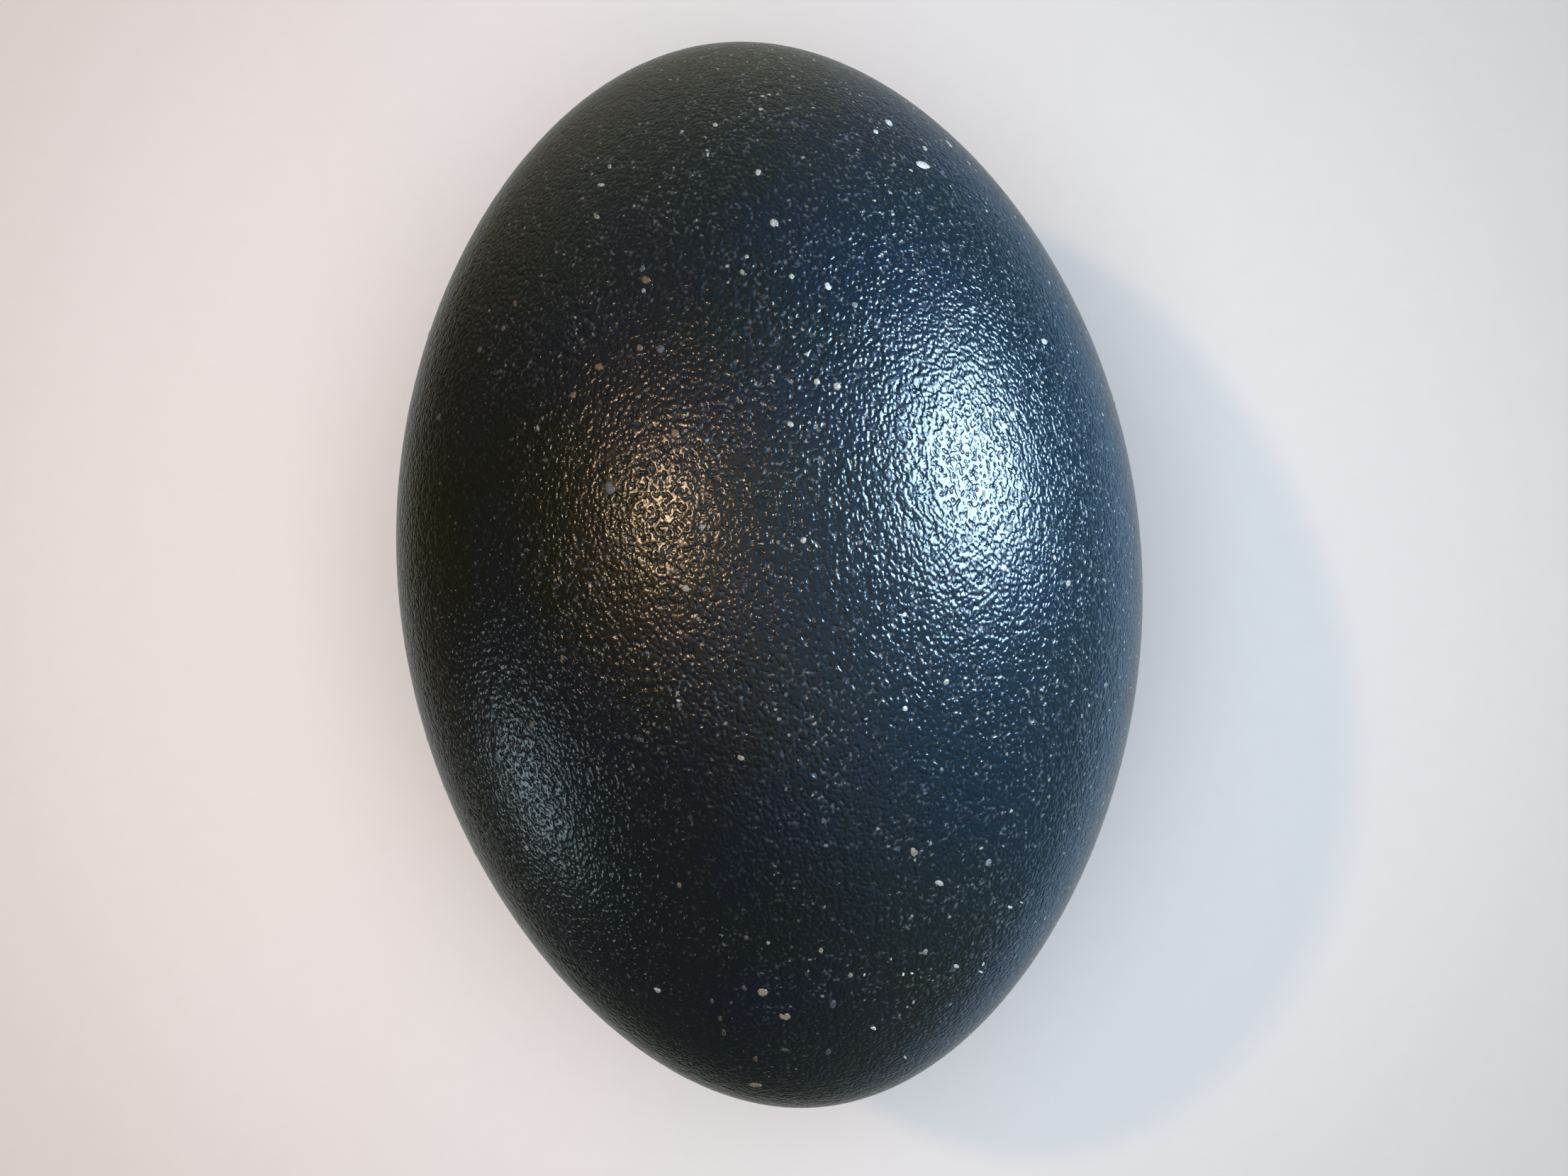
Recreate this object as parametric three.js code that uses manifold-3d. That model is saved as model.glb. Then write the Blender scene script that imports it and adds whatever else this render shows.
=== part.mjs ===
// A whole emu egg lying on its side, as one closed solid, in millimetres with +Z up.
// The long axis runs along Y, with the slightly fuller end towards +Y. The origin is on the surface that the
// egg rests on, below the middle of its length.
import * as THREE from "three";
import { mergeVertices } from "three/addons/utils/BufferGeometryUtils.js";
import Module from "manifold-3d";

// Driving dimensions.
const EGG_LENGTH = 131; // from end to end
const EGG_WIDTH = 91; // across the belly
const FULLER_END = 0.019; // share of the width that the +Y end gains and the -Y end loses
const END_TAPER = 0.078; // share of the width that both ends lose against a plain ellipse
const REST_SPOT_DEPTH = 0.5; // how much of the belly's curve the flat resting spot takes away

// How finely the curved shell is faceted.
const RINGS = 44; // bands from one end to the other
const SIDES = 72; // facets round the long axis

const BELLY_RADIUS = EGG_WIDTH / 2;
const AXIS_HEIGHT = BELLY_RADIUS - REST_SPOT_DEPTH; // height of the long axis above the resting surface

const wasm = await Module();
wasm.setup();

// The egg's outline on one side of its long axis: angle 0 is the fuller end, PI the narrower one.
function outlinePoint(angle) {
  const along = Math.cos(angle);
  const swell = 1 + FULLER_END * along - END_TAPER * along * along;
  return new THREE.Vector2(BELLY_RADIUS * Math.sin(angle) * swell, (EGG_LENGTH / 2) * along);
}

// The outline from the narrower end to the fuller one. Both ends lie exactly on the axis.
function outline() {
  const points = [new THREE.Vector2(0, -EGG_LENGTH / 2)];
  for (let ring = RINGS - 1; ring > 0; ring--) points.push(outlinePoint((Math.PI * ring) / RINGS));
  points.push(new THREE.Vector2(0, EGG_LENGTH / 2));
  return points;
}

// A closed three.js shape as a solid that can be cut.
function solidFrom(geometry) {
  const bare = geometry.clone();
  bare.deleteAttribute("normal");
  bare.deleteAttribute("uv");
  const merged = mergeVertices(bare);
  const mesh = new wasm.Mesh({
    numProp: 3,
    vertProperties: merged.attributes.position.array,
    triVerts: new Uint32Array(merged.index.array),
  });
  return new wasm.Manifold(mesh);
}

// A cut solid as a three.js shape again.
function geometryFrom(solid) {
  const mesh = solid.getMesh();
  const geometry = new THREE.BufferGeometry();
  geometry.setAttribute("position", new THREE.BufferAttribute(mesh.vertProperties, mesh.numProp));
  geometry.setIndex(new THREE.BufferAttribute(mesh.triVerts, 1));
  geometry.computeVertexNormals();
  return geometry;
}

// Everything below the resting surface, as a block wider than the egg.
function groundBlock() {
  const block = new THREE.BoxGeometry(2 * EGG_WIDTH, 2 * EGG_LENGTH, EGG_WIDTH);
  return block.translate(0, 0, -AXIS_HEIGHT - EGG_WIDTH / 2);
}

// The egg round its own axis, with the flat spot cut into the underside of its belly.
function eggGeometry() {
  const whole = solidFrom(new THREE.LatheGeometry(outline(), SIDES));
  return geometryFrom(whole.subtract(solidFrom(groundBlock())));
}

const shellMaterial = new THREE.MeshStandardMaterial({
  color: 0x141d22, // green-black with a cool cast
  roughness: 0.35,
  metalness: 0,
});

const egg = new THREE.Mesh(eggGeometry(), shellMaterial);
egg.name = "egg";
egg.position.z = AXIS_HEIGHT;

const emuEgg = new THREE.Group();
emuEgg.add(egg);

export default emuEgg;
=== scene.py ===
"""A whole emu egg lying on its side, seen from above: its pebbled shell, its pale specks and soft light."""

import math
import random

import bpy
from mathutils import Matrix, Vector
from mathutils.bvhtree import BVHTree


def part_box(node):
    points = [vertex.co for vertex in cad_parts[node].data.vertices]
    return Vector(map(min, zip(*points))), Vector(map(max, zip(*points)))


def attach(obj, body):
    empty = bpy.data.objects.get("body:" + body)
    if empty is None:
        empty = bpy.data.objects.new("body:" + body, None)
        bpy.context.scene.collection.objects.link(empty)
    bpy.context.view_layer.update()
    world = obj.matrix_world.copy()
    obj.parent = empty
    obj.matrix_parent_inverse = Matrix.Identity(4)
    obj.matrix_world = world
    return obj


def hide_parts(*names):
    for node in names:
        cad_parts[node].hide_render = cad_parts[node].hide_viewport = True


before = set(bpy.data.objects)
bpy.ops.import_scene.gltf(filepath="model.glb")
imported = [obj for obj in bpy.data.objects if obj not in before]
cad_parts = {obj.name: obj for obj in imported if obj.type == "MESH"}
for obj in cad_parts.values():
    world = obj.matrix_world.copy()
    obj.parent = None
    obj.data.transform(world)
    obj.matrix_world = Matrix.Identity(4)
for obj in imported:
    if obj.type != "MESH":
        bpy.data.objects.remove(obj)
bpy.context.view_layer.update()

# --------------------------------------------------------------------------------------------------------
# Camera: it looks straight down on the lying egg, turned so that the fuller end points up the picture and
# a little to the left. The picture is 2212 by 1659 pixels.
PICTURE_WIDTH, PICTURE_HEIGHT = 2212, 1659
EGG_MIDDLE_X, EGG_MIDDLE_Y = 1087, 811.5  # where the middle of the egg shows in the picture
EGG_LEAN = math.radians(5.5)  # how far the egg's long axis leans left of upright
PIXELS_PER_METRE = 11421  # at the distance of the egg's middle
VIEW_DISTANCE = 0.330  # from the lens to the egg's middle
NEAREST_SEEN = 0.01
SENSOR_WIDTH = 36  # in millimetres, like the focal length

shell_low, shell_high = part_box("egg")
EGG_LENGTH = shell_high.y - shell_low.y
EGG_WIDTH = shell_high.x - shell_low.x
REST_SPOT_DEPTH = EGG_WIDTH - (shell_high.z - shell_low.z)
AXIS_HEIGHT = EGG_WIDTH / 2 - REST_SPOT_DEPTH
egg_middle = Vector((0, 0, AXIS_HEIGHT))

picture_turn = Matrix.Rotation(-EGG_LEAN, 4, "Z")
picture_right = picture_turn @ Vector((1, 0, 0))
picture_up = picture_turn @ Vector((0, 1, 0))

camera_data = bpy.data.cameras.new("camera")
camera_data.sensor_width = SENSOR_WIDTH
camera_data.lens = PIXELS_PER_METRE * VIEW_DISTANCE * SENSOR_WIDTH / PICTURE_WIDTH
camera_data.clip_start = NEAREST_SEEN
camera = bpy.data.objects.new("camera", camera_data)
bpy.context.scene.collection.objects.link(camera)
bpy.context.scene.camera = camera
camera.rotation_euler = (0, 0, -EGG_LEAN)
camera.location = (
    egg_middle
    + Vector((0, 0, VIEW_DISTANCE))
    + picture_right * ((PICTURE_WIDTH / 2 - EGG_MIDDLE_X) / PIXELS_PER_METRE)
    - picture_up * ((PICTURE_HEIGHT / 2 - EGG_MIDDLE_Y) / PIXELS_PER_METRE)
)


def sight_line(x, y):
    """The direction from the lens through a point of the picture."""
    right = (x - PICTURE_WIDTH / 2) / PIXELS_PER_METRE
    up = (PICTURE_HEIGHT / 2 - y) / PIXELS_PER_METRE
    return (picture_right * right + picture_up * up - Vector((0, 0, VIEW_DISTANCE))).normalized()


# --------------------------------------------------------------------------------------------------------
# Shell: one closed skin of calcite, laid down whole. Its outermost layer is a green-black crust that dried
# into fine glossy pebbles with pits between them, and a paler layer shows at the bottom of the pits.
MM = 0.001  # one millimetre, in Blender's metres
FULLER_END = 0.019  # share of the width that the +Y end gains and the -Y end loses
END_TAPER = 0.078  # share of the width that both ends lose against a plain ellipse
CELLS_ACROSS = 116  # quads over a quarter of the girth
CELLS_ALONG = 150  # quads over the same angle along the length

# The relief in the mesh: broad and shallow pebbles.
RELIEF_SIZE = 1.25 * MM  # a cell of its noise
RELIEF_DEPTH = 0.035 * MM
RELIEF_FADE = 1.5 * MM  # the height above the floor at which it reaches its full depth

# The fine pebbles, which are a bump. Their heights are in millimetres over the whole range of a noise.
PEBBLE_SIZE = 0.43 * MM
PEBBLE_SQUEEZE = 0.80  # a pebble's width round the egg as a share of its length along the egg
PEBBLE_DETAIL = 0.4
PEBBLE_TOP = 0.52  # the pebbles are worn level above this value of their noise
PEBBLE_ROUNDING = 0.28  # how softly their sides turn into that level
PEBBLE_HEIGHT = 0.31
SWELL_SIZE = 1.1 * MM  # broader swellings under the pebbles
SWELL_HEIGHT = 0.09

# The crust drifts slowly between two blacks.
DRIFT_SIZE = 22 * MM
DRIFT_EDGES = (0.4, 0.6)
GREEN_BLACK = (0.0054, 0.0075, 0.0060)
NAVY_BLACK = (0.0052, 0.0070, 0.0100)

# Pits and flecks crowd together in places. They also grow clearer towards +X and towards the fuller end,
# the side the window and lamp light: that lean is painted light, pale marks standing in for the lights'
# glints.
CROWD_SIZE = 9 * MM
LIT_SIDE_LEAN = (9.0, 2.5, 0.0)  # how fast the painted sheen of clearer marks grows along X, Y and Z, for each metre
CROWD_AND_LIT_SIDE_EDGES = (0.25, 0.85)

# Pit bottoms are bare where the pebbles leave a gap, and only in patches.
PIT_EDGES = (0.12, 0.47)
PIT_PATCH_SIZE = 1.5 * MM
PIT_PATCH_EDGES = (0.38, 0.68)
LONE_PIT = 0.10  # how clear a pit is outside the crowds and away from the lit side's painted sheen
PIT_COLOUR = (0.145, 0.165, 0.19)

# Flecks are tiny pale dots where the crust is missing, one in each cell of a crooked net.
FLECK_SPACING = 0.95 * MM
FLECK_CROOKEDNESS = 0.6 * MM
CROOK_SIZE = 0.35 * MM
SMALLEST_FLECK = 0.08  # radius as a share of the spacing
FLECK_GROWTH = 0.15  # what the largest fleck adds to that
FLECK_EDGES = (0.45, 1.4)  # shares of its radius at which a fleck starts and ends to fade
FAINTEST_FLECK = 0.06  # how clear it is
FLECK_STRENGTH = 0.95  # what the clearest fleck adds to that
LONE_FLECK = 0.15  # how clear a fleck is outside the crowds and away from the lit side's painted sheen
FLECK_TINT_EDGES = (0.3, 0.9)
COOL_FLECK = (0.44, 0.50, 0.54)
WARM_FLECK = (0.72, 0.68, 0.57)

# The gloss.
CRUST_ROUGHNESS = 0.21
FLECK_ROUGHNESS = 0.25  # what a bare fleck adds
PIT_ROUGHNESS = 0.08  # what a pit adds
SHELL_IOR = 1.52


class Wire:
    """An output in a node tree. Arithmetic on it adds Math nodes to the tree."""

    def __init__(self, tree, socket):
        self.tree = tree
        self.socket = socket

    def __add__(self, other):
        return self.tree.maths("ADD", self, other)

    def __sub__(self, other):
        return self.tree.maths("SUBTRACT", self, other)

    def __rsub__(self, other):
        return self.tree.maths("SUBTRACT", other, self)

    def __mul__(self, other):
        return self.tree.maths("MULTIPLY", self, other)

    def __rtruediv__(self, other):
        return self.tree.maths("DIVIDE", other, self)

    __radd__ = __add__
    __rmul__ = __mul__


class Tree:
    """A node tree that is being written."""

    def __init__(self, group):
        self.group = group

    def node(self, kind, settings=(), values=(), out=0):
        """Adds a node, with its settings and then its sockets. out is one output or a tuple of them."""
        made = self.group.nodes.new(kind)
        for name, value in dict(settings).items():
            setattr(made, name, value)
        for name, value in dict(values).items():
            if isinstance(value, Wire):
                self.group.links.new(value.socket, made.inputs[name])
            else:
                made.inputs[name].default_value = value
        if isinstance(out, tuple):
            return [Wire(self, made.outputs[name]) for name in out]
        return Wire(self, made.outputs[out]) if made.outputs else None

    def maths(self, operation, *values):
        return self.node("ShaderNodeMath", {"operation": operation}, enumerate(values))

    def vectors(self, operation, *values):
        return self.node("ShaderNodeVectorMath", {"operation": operation}, enumerate(values))

    def dot(self, first, second):
        """The dot product of two vectors, which is a number."""
        values = {0: first, 1: second}
        return self.node("ShaderNodeVectorMath", {"operation": "DOT_PRODUCT"}, values, out="Value")

    def scaled(self, vector, factor):
        values = {0: vector, "Scale": factor}
        return self.node("ShaderNodeVectorMath", {"operation": "SCALE"}, values)

    def parts(self, vector):
        """The X, Y and Z of a vector."""
        return self.node("ShaderNodeSeparateXYZ", values={0: vector}, out=(0, 1, 2))

    def joined(self, parts):
        """A vector from its X, Y and Z."""
        return self.node("ShaderNodeCombineXYZ", values=enumerate(parts))

    def step(self, value, low, high):
        """0 below low, 1 above high, and a smooth rise between them."""
        values = {"Value": value, "From Min": low, "From Max": high}
        return self.node("ShaderNodeMapRange", {"interpolation_type": "SMOOTHSTEP"}, values)

    def mix(self, factor, first, second):
        """A mix of two colours."""
        first, second = [(*c, 1) if isinstance(c, tuple) else c for c in (first, second)]
        values = {0: factor, 6: first, 7: second}
        return self.node("ShaderNodeMix", {"data_type": "RGBA"}, values, out=2)

    def noise(self, place, cell, detail=0, out=0):
        """Noise with cells of that size in metres."""
        values = {"Vector": place, "Scale": 1 / cell, "Detail": detail}
        return self.node("ShaderNodeTexNoise", values=values, out=out)

    def surface(self, values):
        """Ends a material's tree in a surface with those values."""
        shaded = self.node("ShaderNodeBsdfPrincipled", values=values)
        self.node("ShaderNodeOutputMaterial", values={"Surface": shaded})


def blank_material(name):
    """A material whose tree is still empty, that tree, and the wire of the place on the piece."""
    material = bpy.data.materials.new(name)
    material.use_nodes = True
    material.node_tree.nodes.clear()
    tree = Tree(material.node_tree)
    return material, tree, tree.node("ShaderNodeTexCoord", out="Object")


def growing_rule(name, inputs, takes_mesh=False):
    """A Geometry Nodes tree with named number inputs, and the wires that they give."""
    group = bpy.data.node_groups.new(name, "GeometryNodeTree")
    group.interface.new_socket("Geometry", in_out="OUTPUT", socket_type="NodeSocketGeometry")
    if takes_mesh:
        group.interface.new_socket("Geometry", in_out="INPUT", socket_type="NodeSocketGeometry")
    for label, value in inputs.items():
        kind = "NodeSocketInt" if isinstance(value, int) else "NodeSocketFloat"
        group.interface.new_socket(label, in_out="INPUT", socket_type=kind)
    tree = Tree(group)
    labels = ("Geometry", *inputs) if takes_mesh else tuple(inputs)
    return tree, dict(zip(labels, tree.node("NodeGroupInput", out=labels)))


def grown(name, tree, inputs, mesh=None):
    """The plain mesh object that a Geometry Nodes tree makes from those inputs."""
    made = bpy.data.objects.new(name, mesh or bpy.data.meshes.new(name))
    bpy.context.scene.collection.objects.link(made)
    modifier = made.modifiers.new(name, "NODES")
    modifier.node_group = tree.group
    for item in tree.group.interface.items_tree:
        if item.in_out == "INPUT" and item.name in inputs:
            modifier[item.identifier] = inputs[item.name]
    evaluated = made.evaluated_get(bpy.context.evaluated_depsgraph_get())
    plain = bpy.data.meshes.new_from_object(evaluated)
    made.modifiers.clear()
    made.data = plain
    return made


def shell_material():
    material, tree, place = blank_material("pebbled_shell")
    along = tree.vectors("MULTIPLY", place, (1, PEBBLE_SQUEEZE, 1))
    grain = tree.noise(along, PEBBLE_SIZE, detail=PEBBLE_DETAIL)
    pebbles = tree.maths("SMOOTH_MIN", grain, PEBBLE_TOP, PEBBLE_ROUNDING)
    height = pebbles * PEBBLE_HEIGHT + tree.noise(along, SWELL_SIZE) * SWELL_HEIGHT
    bump = tree.node("ShaderNodeBump", values={"Height": height, "Distance": 1 * MM})

    drift = tree.noise(place, DRIFT_SIZE, detail=2)
    black = tree.mix(tree.step(drift, *DRIFT_EDGES), GREEN_BLACK, NAVY_BLACK)

    # Painted light: the lean makes pits and flecks clearer towards the lit side, as a stand-in for glints.
    crowds_and_lit_side = tree.noise(place, CROWD_SIZE, detail=1) + tree.dot(place, LIT_SIDE_LEAN)
    crowding_and_lit_side = tree.step(crowds_and_lit_side, *CROWD_AND_LIT_SIDE_EDGES)

    def crowded_or_lit(alone):
        """How clear a mark is, from its clearness alone up to 1 where marks crowd or where the lit side's
        painted sheen makes them clearer.
        """
        return alone + crowding_and_lit_side * (1 - alone)

    gap = 1 - tree.step(grain, *PIT_EDGES)
    pit_patch = tree.step(tree.noise(place, PIT_PATCH_SIZE, detail=1), *PIT_PATCH_EDGES)
    pit = gap * pit_patch * crowded_or_lit(LONE_PIT)

    # A cell's random colour gives its fleck a size, a clearness and a tint.
    wander = tree.noise(place, CROOK_SIZE, detail=1, out="Color")
    crooked = tree.vectors("MULTIPLY_ADD", wander, (FLECK_CROOKEDNESS,) * 3, place)
    net = {"Vector": crooked, "Scale": 1 / FLECK_SPACING}
    distance, cell_colour = tree.node("ShaderNodeTexVoronoi", values=net, out=(0, 1))
    red, green, blue = tree.node("ShaderNodeSeparateColor", values={0: cell_colour}, out=(0, 1, 2))
    radius = SMALLEST_FLECK + red * red * FLECK_GROWTH
    dot = 1 - tree.step(distance, radius * FLECK_EDGES[0], radius * FLECK_EDGES[1])
    fleck = dot * (FAINTEST_FLECK + green * green * FLECK_STRENGTH) * crowded_or_lit(LONE_FLECK)
    fleck_colour = tree.mix(tree.step(blue, *FLECK_TINT_EDGES), COOL_FLECK, WARM_FLECK)

    skin = tree.mix(fleck, tree.mix(pit, black, PIT_COLOUR), fleck_colour)
    roughness = CRUST_ROUGHNESS + fleck * FLECK_ROUGHNESS + pit * PIT_ROUGHNESS
    tree.surface({"Base Color": skin, "Roughness": roughness, "Normal": bump, "IOR": SHELL_IOR})
    return material


shell_inputs = {
    "Length": EGG_LENGTH,
    "Width": EGG_WIDTH,
    "Axis Height": AXIS_HEIGHT,
    "Fuller End": FULLER_END,
    "End Taper": END_TAPER,
    "Relief Size": RELIEF_SIZE,
    "Relief Depth": RELIEF_DEPTH,
    "Relief Fade": RELIEF_FADE,
    "Cells Across": CELLS_ACROSS,
    "Cells Along": CELLS_ALONG,
}


def shell_rule():
    """A cube of quads drawn out to a ball and then to the egg, so that no pole shows, and then pebbled."""
    tree, given = growing_rule("shell_rule", shell_inputs)
    across = given["Cells Across"] + 1
    grid = {
        "Size": (2, 2, 2),
        "Vertices X": across,
        "Vertices Y": given["Cells Along"] + 1,
        "Vertices Z": across,
    }
    cube = tree.node("GeometryNodeMeshCube", values=grid)
    # Equal steps on the cube become equal angles on the ball.
    corner = tree.parts(tree.node("GeometryNodeInputPosition"))
    turned = [tree.maths("TANGENT", wire * (math.pi / 4)) for wire in corner]
    side, along, up = tree.parts(tree.vectors("NORMALIZE", tree.joined(turned)))
    swell = 1 + given["Fuller End"] * along - given["End Taper"] * (along * along)
    radius = given["Width"] * 0.5 * swell
    height = tree.maths("MAXIMUM", up * radius + given["Axis Height"], 0.0)
    place = tree.joined((side * radius, along * given["Length"] * 0.5, height))
    smooth = tree.node("GeometryNodeSetPosition", values={"Geometry": cube, "Position": place})
    # The relief fades out towards the resting spot and never reaches below it.
    position = tree.node("GeometryNodeInputPosition")
    x, y, z = tree.parts(position)
    relief = {"Vector": position, "Scale": 1.0 / given["Relief Size"], "Detail": 1.0}
    pebble = tree.node("ShaderNodeTexNoise", values=relief)
    lift = (pebble - 0.5) * 2 * given["Relief Depth"] * tree.step(z, 0.0, given["Relief Fade"])
    offset = tree.scaled(tree.node("GeometryNodeInputNormal"), lift)
    pebbled = tree.node("GeometryNodeSetPosition", values={"Geometry": smooth, "Offset": offset})
    rounded = tree.node("GeometryNodeSetShadeSmooth", values={"Geometry": pebbled})
    whole = tree.node("GeometryNodeRealizeInstances", values={0: rounded})
    crust = {"Geometry": whole, "Material": shell_material()}
    crusted = tree.node("GeometryNodeSetMaterial", values=crust)
    tree.node("NodeGroupOutput", values={"Geometry": crusted})
    return tree


shell = grown("shell", shell_rule(), shell_inputs)
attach(shell, "root")
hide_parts("egg")

# --------------------------------------------------------------------------------------------------------
# Specks: grains of lime and of dried nest dirt that stuck to the crust while it was wet. Each is a thin
# lens half sunk in the shell, made from a point on the shell that says where it lies and how large it is.
SPECK_RISE = 0.07 * MM  # half the thickness of a speck
SPECK_RAGGEDNESS = 0.075 * MM
RAGGED_SIZE = 0.45 * MM  # a cell of the noise that makes its edge ragged
LENS_SEGMENTS = 10
LENS_RINGS = 4
GRIT_SIZE = 0.25 * MM
GRIT_HEIGHT = 0.05  # in millimetres
STAIN = (0.45, 0.42, 0.38)  # what dirt leaves of a tint
STAIN_EDGES = (0.40, 0.75)
SPECK_ROUGHNESS = 0.42

SPECK_TINTS = {
    "white": (0.55, 0.60, 0.62),
    "cream": (0.38, 0.39, 0.35),
    "sand": (0.25, 0.22, 0.17),
    "rust": (0.13, 0.085, 0.05),
    "earth": (0.085, 0.07, 0.055),
    "grey": (0.18, 0.20, 0.21),
    "slate": (0.060, 0.070, 0.080),
}

# Where each large speck shows: x and y in the picture, its length and width in hundredths of a millimetre,
# how far its length leans left of upright in degrees, and its tint.
SEEN_SPECKS = (
    (1092, 315, 110, 95, 20, "cream"),
    (1070, 243, 80, 70, 0, "cream"),
    (1302, 233, 165, 85, 80, "white"),
    (1305, 209, 75, 45, 60, "cream"),
    (1254, 173, 95, 60, 70, "white"),
    (1236, 186, 75, 50, 70, "white"),
    (1339, 203, 65, 45, 60, "cream"),
    (1168, 404, 95, 70, 30, "white"),
    (1206, 430, 75, 65, 0, "grey"),
    (1117, 390, 75, 60, 0, "cream"),
    (1047, 384, 70, 60, 20, "sand"),
    (1053, 362, 55, 50, 0, "sand"),
    (911, 395, 115, 85, 60, "rust"),
    (906, 379, 80, 65, 0, "slate"),
    (908, 410, 65, 50, 0, "grey"),
    (842, 306, 70, 50, 60, "sand"),
    (822, 279, 55, 50, 0, "rust"),
    (727, 428, 70, 50, 20, "rust"),
    (848, 261, 80, 45, 80, "cream"),
    (860, 235, 55, 45, 0, "grey"),
    (1009, 176, 60, 50, 40, "cream"),
    (999, 218, 55, 50, 0, "cream"),
    (1073, 154, 55, 45, 60, "cream"),
    (1181, 545, 95, 80, 40, "cream"),
    (1152, 539, 85, 70, 0, "cream"),
    (1115, 599, 80, 65, 30, "cream"),
    (1133, 762, 80, 70, 0, "cream"),
    (952, 611, 105, 85, 10, "rust"),
    (860, 688, 165, 120, 20, "slate"),
    (990, 744, 80, 65, 0, "grey"),
    (967, 830, 95, 80, 30, "sand"),
    (1417, 601, 80, 75, 0, "white"),
    (1424, 745, 115, 85, 0, "grey"),
    (1428, 585, 80, 65, 40, "white"),
    (1367, 760, 85, 80, 0, "grey"),
    (1351, 608, 70, 60, 0, "white"),
    (1416, 801, 80, 75, 0, "white"),
    (1473, 482, 80, 60, 20, "white"),
    (1507, 823, 80, 65, 10, "cream"),
    (1558, 818, 55, 50, 0, "sand"),
    (1335, 962, 80, 65, 0, "cream"),
    (1560, 966, 70, 50, 0, "grey"),
    (1277, 999, 70, 55, 0, "white"),
    (1276, 867, 60, 50, 0, "white"),
    (1045, 1069, 80, 65, 30, "sand"),
    (958, 1249, 70, 55, 0, "rust"),
    (1289, 1202, 110, 80, 30, "sand"),
    (1312, 1190, 60, 50, 0, "grey"),
    (1325, 1246, 110, 65, 70, "cream"),
    (1394, 1217, 90, 75, 0, "grey"),
    (1339, 1294, 55, 50, 0, "grey"),
    (1158, 1341, 70, 60, 0, "sand"),
    (1305, 1343, 70, 60, 0, "grey"),
    (1200, 1376, 70, 55, 20, "sand"),
    (927, 1397, 80, 65, 40, "cream"),
    (1076, 1400, 130, 90, 70, "sand"),
    (1107, 1434, 125, 85, 60, "sand"),
    (1050, 1394, 75, 60, 0, "slate"),
    (1021, 1457, 80, 60, 0, "earth"),
    (1016, 1437, 60, 50, 0, "earth"),
    (1004, 1412, 70, 40, 20, "earth"),
    (1066, 1494, 65, 55, 0, "earth"),
    (1168, 1484, 70, 60, 0, "slate"),
    (1175, 1417, 95, 80, 0, "slate"),
    (1107, 1481, 110, 35, 80, "slate"),
    (1066, 1531, 145, 65, 75, "sand"),
    (743, 1196, 60, 50, 0, "sand"),
    (776, 954, 60, 45, 0, "earth"),
    (750, 1023, 70, 60, 0, "earth"),
    (793, 928, 90, 40, 0, "rust"),
    (845, 518, 100, 80, 70, "rust"),
    (932, 493, 100, 90, 0, "slate"),
    (902, 491, 85, 70, 20, "rust"),
    (863, 357, 75, 40, 40, "slate"),
    (809, 557, 80, 65, 0, "rust"),
    (759, 604, 75, 30, 10, "sand"),
    (710, 463, 70, 55, 0, "earth"),
    (677, 493, 70, 55, 0, "earth"),
    (619, 588, 75, 50, 0, "earth"),
    (1349, 1363, 75, 45, 60, "cream"),
    (1384, 1371, 50, 28, 70, "white"),
    (1387, 1360, 35, 28, 0, "white"),
    (1425, 1280, 60, 35, 70, "white"),
    (1441, 1273, 40, 25, 60, "white"),
    (1341, 1417, 45, 25, -40, "grey"),
    (1288, 1414, 35, 25, 0, "cream"),
    (1232, 1451, 60, 40, 60, "white"),
    (1277, 1492, 50, 25, 30, "white"),
    (1163, 1280, 45, 35, 0, "grey"),
    (1257, 1353, 32, 25, 0, "white"),
    (1274, 1375, 40, 25, 0, "white"),
    (1286, 1373, 35, 25, 60, "white"),
    (1219, 1375, 40, 25, -20, "white"),
    (1140, 1370, 35, 30, 0, "grey"),
    (1052, 1323, 65, 50, 0, "earth"),
    (1084, 1330, 45, 40, 0, "sand"),
    (1280, 1309, 75, 45, 70, "earth"),
)
SLOPE_EASE = 1 - (EGG_WIDTH / EGG_LENGTH) ** 2  # turns the way from the middle into the way the shell faces

# Smaller and sparser grains on the underside and round the sides, strewn by chance.
HIDDEN_SPECKS = 90
HIDDEN_SPECK_SEED = 27
HIDDEN_LENGTHS = (0.5, 1.2)  # in millimetres
HIDDEN_SHAPES = (0.6, 0.95)  # the width as a share of the length
HIDDEN_TINTS = ("white", "cream", "cream", "sand", "sand", "rust", "grey", "slate")
LOWEST_SPECK = 1.5 * MM


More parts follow.
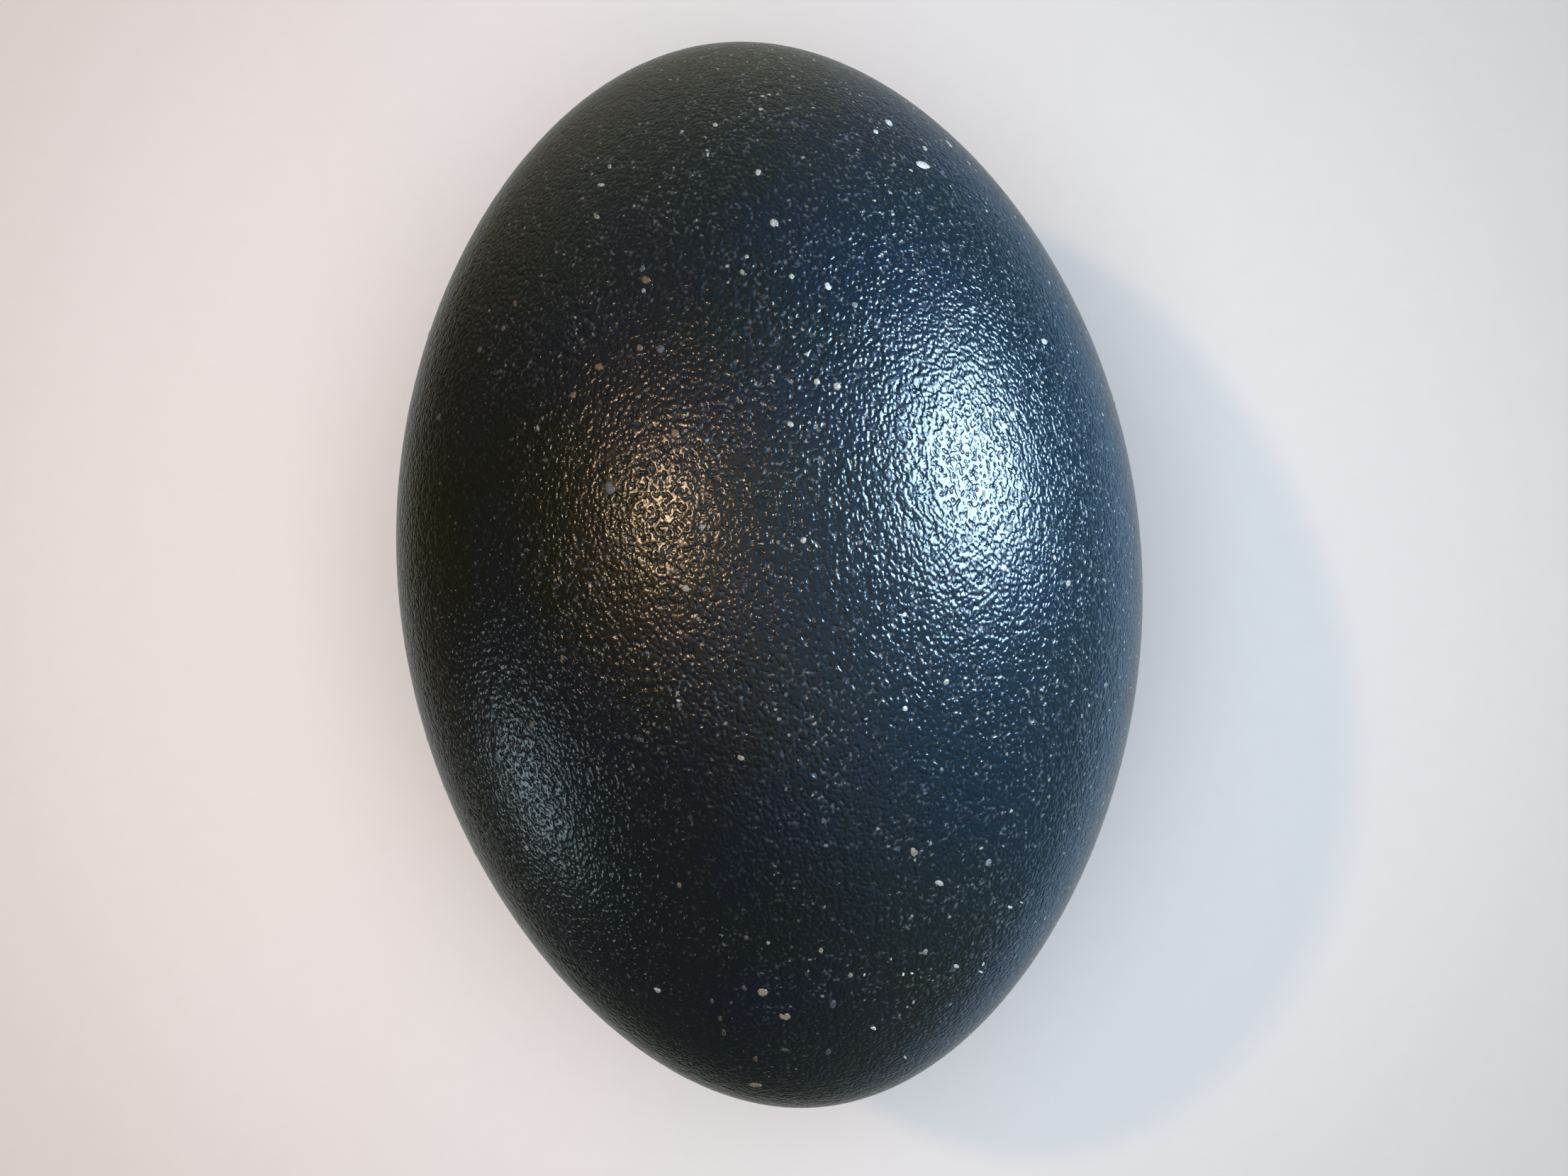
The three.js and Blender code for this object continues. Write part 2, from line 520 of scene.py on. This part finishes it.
def speck_points():
    """A mesh with a loose vertex for each speck, and its directions, size and tint as attributes."""
    skin = BVHTree.FromObject(shell, bpy.context.evaluated_depsgraph_get())
    specks = []
    for x, y, length, width, lean, tint in SEEN_SPECKS:
        sight = sight_line(x, y)
        spot = skin.ray_cast(camera.location, sight)[0]
        outward = (spot - egg_middle - Vector((0, (spot - egg_middle).y * SLOPE_EASE, 0))).normalized()
        # The size is as seen, so it is drawn out over a slope until it looks that size from the lens.
        lengthwise = Matrix.Rotation(math.radians(lean), 3, "Z") @ picture_up
        slope = -sight.dot(outward)
        on_shell = lengthwise + sight * (lengthwise.dot(outward) / slope)
        length *= on_shell.length * MM / 100
        width *= MM / 100 / slope / on_shell.length
        specks.append((spot, outward, on_shell, length, width, SPECK_TINTS[tint]))

    draw = random.Random(HIDDEN_SPECK_SEED)
    while len(specks) < len(SEEN_SPECKS) + HIDDEN_SPECKS:
        way = Vector((draw.gauss(0, 1), draw.gauss(0, 1), draw.gauss(0, 1)))
        spot, outward, _, _ = skin.ray_cast(egg_middle, way)
        length = draw.uniform(*HIDDEN_LENGTHS) * MM
        width = length * draw.uniform(*HIDDEN_SHAPES)
        lengthwise = Vector((draw.gauss(0, 1), draw.gauss(0, 1), draw.gauss(0, 1)))
        tint = SPECK_TINTS[draw.choice(HIDDEN_TINTS)]
        outward = outward if outward.dot(spot - egg_middle) > 0 else -outward
        in_view = outward.dot(camera.location - spot) > 0
        if not in_view and spot.z > LOWEST_SPECK:
            specks.append((spot, outward, lengthwise, length, width, tint))

    spots, outwards, lengthwises, lengths, widths, tints = zip(*specks)
    mesh = bpy.data.meshes.new("speck_points")
    mesh.from_pydata(spots, [], [])
    columns = {
        "outward": outwards,
        "lengthwise": lengthwises,
        "half_size": [(length / 2, width / 2, SPECK_RISE) for length, width in zip(lengths, widths)],
        "tint": tints,
    }
    for label, values in columns.items():
        layer = mesh.attributes.new(label, "FLOAT_VECTOR", "POINT")
        for item, value in zip(layer.data, values):
            item.vector = value
    return mesh


def speck_material():
    material, tree, place = blank_material("lime_and_dirt")
    tint = tree.node("ShaderNodeAttribute", {"attribute_name": "tint"}, out="Color")
    grit = tree.noise(place, GRIT_SIZE, detail=2)
    stained = tree.mix(tree.step(grit, *STAIN_EDGES), tint, tree.vectors("MULTIPLY", tint, STAIN))
    bump = tree.node("ShaderNodeBump", values={"Height": grit * GRIT_HEIGHT, "Distance": 1 * MM})
    tree.surface({"Base Color": stained, "Roughness": SPECK_ROUGHNESS, "Normal": bump})
    return material


speck_inputs = {
    "Raggedness": SPECK_RAGGEDNESS,
    "Segments": LENS_SEGMENTS,
    "Rings": LENS_RINGS,
}


def speck_rule():
    """A lens at each point, laid along the shell, and then its edge made ragged by noise."""
    tree, given = growing_rule("speck_rule", speck_inputs, takes_mesh=True)

    def noted(label):
        """What the points say of themselves under that name."""
        settings = {"data_type": "FLOAT_VECTOR"}
        return tree.node("GeometryNodeInputNamedAttribute", settings, {"Name": label})

    ball = {"Segments": given["Segments"], "Rings": given["Rings"], "Radius": 1}
    lens = tree.node("GeometryNodeMeshUVSphere", values=ball)
    lie = tree.node(
        "FunctionNodeAxesToRotation",
        {"primary_axis": "Z", "secondary_axis": "X"},
        {0: noted("outward"), 1: noted("lengthwise")},
    )
    strewn = {"Points": given["Geometry"], "Instance": lens, "Rotation": lie, "Scale": noted("half_size")}
    placed = tree.node("GeometryNodeInstanceOnPoints", values=strewn)
    lenses = tree.node("GeometryNodeRealizeInstances", values={0: placed})
    wobble = tree.noise(tree.node("GeometryNodeInputPosition"), RAGGED_SIZE, detail=1, out="Color")
    centred = tree.vectors("SUBTRACT", wobble, (0.5, 0.5, 0.5))
    # The noise mostly stays within a quarter of its middle, which the 4 makes up for.
    offset = tree.scaled(centred, given["Raggedness"] * 4)
    ragged = tree.node("GeometryNodeSetPosition", values={"Geometry": lenses, "Offset": offset})
    rounded = tree.node("GeometryNodeSetShadeSmooth", values={"Geometry": ragged})
    coating = {"Geometry": rounded, "Material": speck_material()}
    coated = tree.node("GeometryNodeSetMaterial", values=coating)
    tree.node("NodeGroupOutput", values={"Geometry": coated})
    return tree


specks = grown("pale_specks", speck_rule(), speck_inputs, speck_points())
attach(specks, "root")

# --------------------------------------------------------------------------------------------------------
# Floor: a plain pale tabletop of matt paint, which only carries the egg and its soft shadow. Its colour
# holds painted light:
# a little pinker on the lamp's side and bluer on the window's, and painted shade where the light weakens
# away from the egg.
HALF_FLOOR = 6
PAINT_IN_PAINTED_LAMPLIGHT = (0.790, 0.732, 0.720)
PAINT_IN_PAINTED_DAYLIGHT = (0.732, 0.768, 0.806)
PAINTED_LIGHT_EDGES = (-0.11, 0.09)  # along the picture's right
DIM_EDGES = (0.070, 0.125)  # distances from the egg's middle over which painted shade makes it a little darker
DIMMING = 0.11
WEAK_EDGES = (0.095, 0.180)  # and farther out, over which the painted light gets weaker and warmer
FULL_LIGHT = (1.0, 1.0, 1.0)
WEAK_LIGHT = (0.80, 0.78, 0.74)
CLOUD_SIZE = 3.5 * MM  # a faint cloudiness keeps it from looking flat
CLOUDINESS = 0.035


def floor_material():
    material, tree, place = blank_material("pale_floor")
    rightward = tree.dot(place, picture_right)
    # Painted light: the paint is pinker towards the lamp and bluer towards the window.
    paint_and_painted_light = tree.mix(tree.step(rightward, *PAINTED_LIGHT_EDGES), PAINT_IN_PAINTED_LAMPLIGHT, PAINT_IN_PAINTED_DAYLIGHT)
    away = tree.node("ShaderNodeVectorMath", {"operation": "LENGTH"}, {0: place}, out="Value")
    clouds = (tree.noise(place, CLOUD_SIZE, detail=3) - 0.5) * CLOUDINESS
    # Painted shade: darker and warmer away from the egg, over a faint cloudiness of the paint's own.
    shade = 1 - tree.step(away, *DIM_EDGES) * DIMMING - clouds
    weaker = tree.mix(tree.step(away, *WEAK_EDGES), FULL_LIGHT, WEAK_LIGHT)
    shaded = tree.vectors("MULTIPLY", paint_and_painted_light, tree.joined((shade, shade, shade)))
    lit = tree.vectors("MULTIPLY", shaded, weaker)
    tree.surface({"Base Color": lit, "Roughness": 1.0, "Specular IOR Level": 0.0})
    return material


corners = [(-1, -1), (1, -1), (1, 1), (-1, 1)]
floor_mesh = bpy.data.meshes.new("floor")
floor_mesh.from_pydata([(x * HALF_FLOOR, y * HALF_FLOOR, 0) for x, y in corners], [], [(0, 1, 2, 3)])
floor_mesh.materials.append(floor_material())
floor = bpy.data.objects.new("floor", floor_mesh)
bpy.context.scene.collection.objects.link(floor)
floor.visible_glossy = False

# --------------------------------------------------------------------------------------------------------
# Lights: daylight from a window on the right, a warm lamp high on the left, and a pale ceiling. Window and
# lamp are two lights each, one that the glossy shell mirrors and one that lights surfaces, as the ceiling
# does. Directions are from the egg in picture terms: right, up and out of the picture.
LAMP_WAY = (-0.50, 0.145, 0.855)
NEAR_LIGHT = 0.9  # distances from the egg
FAR_LIGHT = 7.2
CEILING_LIGHT = 8.4


def in_room(direction):
    """A direction in picture terms, as one in the frame."""
    right, up, out = direction
    return picture_right * right + picture_up * up + Vector((0, 0, out))


def soft_light(name, direction, distance, size, brightness, colour):
    """A rectangular light that faces the egg. Its brightness is that of its surface."""
    data = bpy.data.lights.new(name, "AREA")
    data.shape = "RECTANGLE"
    data.size, data.size_y = size
    data.energy = brightness * math.pi * size[0] * size[1]
    data.color = colour
    light = bpy.data.objects.new(name, data)
    bpy.context.scene.collection.objects.link(light)
    way = in_room(Vector(direction).normalized())
    light.location = egg_middle + way * distance
    light.rotation_euler = way.to_track_quat("Z", "Y").to_euler()
    return light


window = soft_light(
    "window",
    (0.854, 0.291, 0.431),
    distance=NEAR_LIGHT,
    size=(0.40, 0.485),
    brightness=45,
    colour=(0.48, 0.71, 0.92),
)
window.visible_diffuse = False

window_fill = soft_light(
    "window_fill",
    (0.863, 0.294, 0.409),
    distance=NEAR_LIGHT,
    size=(0.36, 0.43),
    brightness=18.0,
    colour=(0.62, 0.82, 1.0),
)
window_fill.visible_glossy = False

lamp = soft_light(
    "lamp",
    LAMP_WAY,
    distance=NEAR_LIGHT,
    size=(0.135, 0.145),
    brightness=47,
    colour=(1.0, 0.69, 0.45),
)
lamp.visible_diffuse = False

lamp_fill = soft_light(
    "lamp_fill",
    (-0.505, 0.26, 0.82),
    distance=FAR_LIGHT,
    size=(0.42, 0.42),
    brightness=174,
    colour=(1.0, 0.62, 0.32),
)
lamp_fill.visible_glossy = False

overhead = soft_light(
    "overhead",
    (0, 0, 1),
    distance=CEILING_LIGHT,
    size=(7.0, 7.0),
    brightness=4.08,
    colour=(0.95, 0.96, 0.965),
)
overhead.visible_glossy = False

# The window's fill lights the egg but not the floor, which would turn blue.
on_egg = bpy.data.collections.new("on_egg")
on_egg.objects.link(shell)
on_egg.objects.link(specks)
window_fill.light_linking.receiver_collection = on_egg

# --------------------------------------------------------------------------------------------------------
# Room: what the glossy shell mirrors round it. It has a dark side, paler walls beyond and below, a second
# window far off on the left, and a glow round the window, the lamp and the ceiling.
DOWN = (0, 0, -1)

# Edges say how nearly a ray goes towards a thing where it starts to show and where it shows in full.
LOW_EDGES = (-0.6, 1.0)
BELOW_WINDOW_EDGES = (0.35, 0.95)
FAR_EDGES = (0.25, 1.0)
NEAR_EDGES = (0.0, 1.0)
WINDOW_SIDE_EDGES = (0.0, 1.0)
TABLE_EDGES = (0.7, 1.0)
FAR_WINDOW_EDGES = (0.980, 0.998)

DARK_SIDE = (0.07, 0.05, 0.01)
FAR_WALL, FAR_WALL_LOW = (0.15, 0.18, 0.20), (0.62, 0.61, 0.47)
NEAR_WALL, NEAR_WALL_LOW = (0.07, 0.08, 0.13), (0.05, 0.07, 0.07)
WINDOW_SIDE, BELOW_WINDOW = (0.0, 0.0, 0.0), (0.64, 1.25, 2.15)
TABLE = (0.5, 0.52, 0.50)
FAR_WINDOW_WAY = (-0.864, -0.485, -0.115)
FAR_WINDOW = (3.6, 4.9, 5.4)

# Each glow's direction in picture terms, the edge where it starts, and its colour.
GLOWS = (
    ((0.87, 0.18, 0.46), 0.1, (0.05, 0.36, 0.82)),  # daylight all over the right side
    ((0.87, 0.25, 0.42), 0.72, (0.0, 0.20, 0.95)),  # close round the window
    (LAMP_WAY, 0.76, (0.32, 0.16, 0.02)),  # round the lamp
    ((0.8, -0.6, -0.1), 0.4, (0.12, 0.12, 0.04)),  # low at the near right
    ((0.28, -0.05, 0.96), 0.60, (0.25, 0.25, 0.26)),  # on the ceiling
)

GREY_LIGHT = (0.24, 0.25, 0.26)  # what the room sheds on all surfaces
PALE_BACKDROP = (0.72, 0.71, 0.69)  # what shows beyond the floor

world = bpy.data.worlds.new("room")
bpy.context.scene.world = world
world.use_nodes = True
world.node_tree.nodes.clear()
room = Tree(world.node_tree)
ray_way = room.node("ShaderNodeTexCoord", out="Generated")


def towards(direction, start, full):
    """How clearly a thing that lies that way shows to a ray."""
    return room.step(room.dot(ray_way, tuple(direction)), start, full)


low = towards(DOWN, *LOW_EDGES)
far_wall = room.mix(low, FAR_WALL, FAR_WALL_LOW)
near_wall = room.mix(low, NEAR_WALL, NEAR_WALL_LOW)
window_side = room.mix(towards(DOWN, *BELOW_WINDOW_EDGES), WINDOW_SIDE, BELOW_WINDOW)
mirrored = room.mix(towards(picture_up, *FAR_EDGES), DARK_SIDE, far_wall)
mirrored = room.mix(towards(-picture_up, *NEAR_EDGES), mirrored, near_wall)
mirrored = room.mix(towards(picture_right, *WINDOW_SIDE_EDGES), mirrored, window_side)
mirrored = room.mix(towards(DOWN, *TABLE_EDGES), mirrored, TABLE)
mirrored = room.mix(towards(in_room(FAR_WINDOW_WAY), *FAR_WINDOW_EDGES), mirrored, FAR_WINDOW)
for direction, start, colour in GLOWS:
    glow = room.mix(towards(in_room(direction), start, 1.0), (0.0, 0.0, 0.0), colour)
    mirrored = room.vectors("ADD", mirrored, glow)

seen, spread = room.node("ShaderNodeLightPath", out=("Is Camera Ray", "Is Diffuse Ray"))
colour = room.mix(seen, room.mix(spread, mirrored, GREY_LIGHT), PALE_BACKDROP)
background = room.node("ShaderNodeBackground", values={"Color": colour})
room.node("ShaderNodeOutputWorld", values={"Surface": background})

bpy.context.scene.view_settings.view_transform = "Standard"
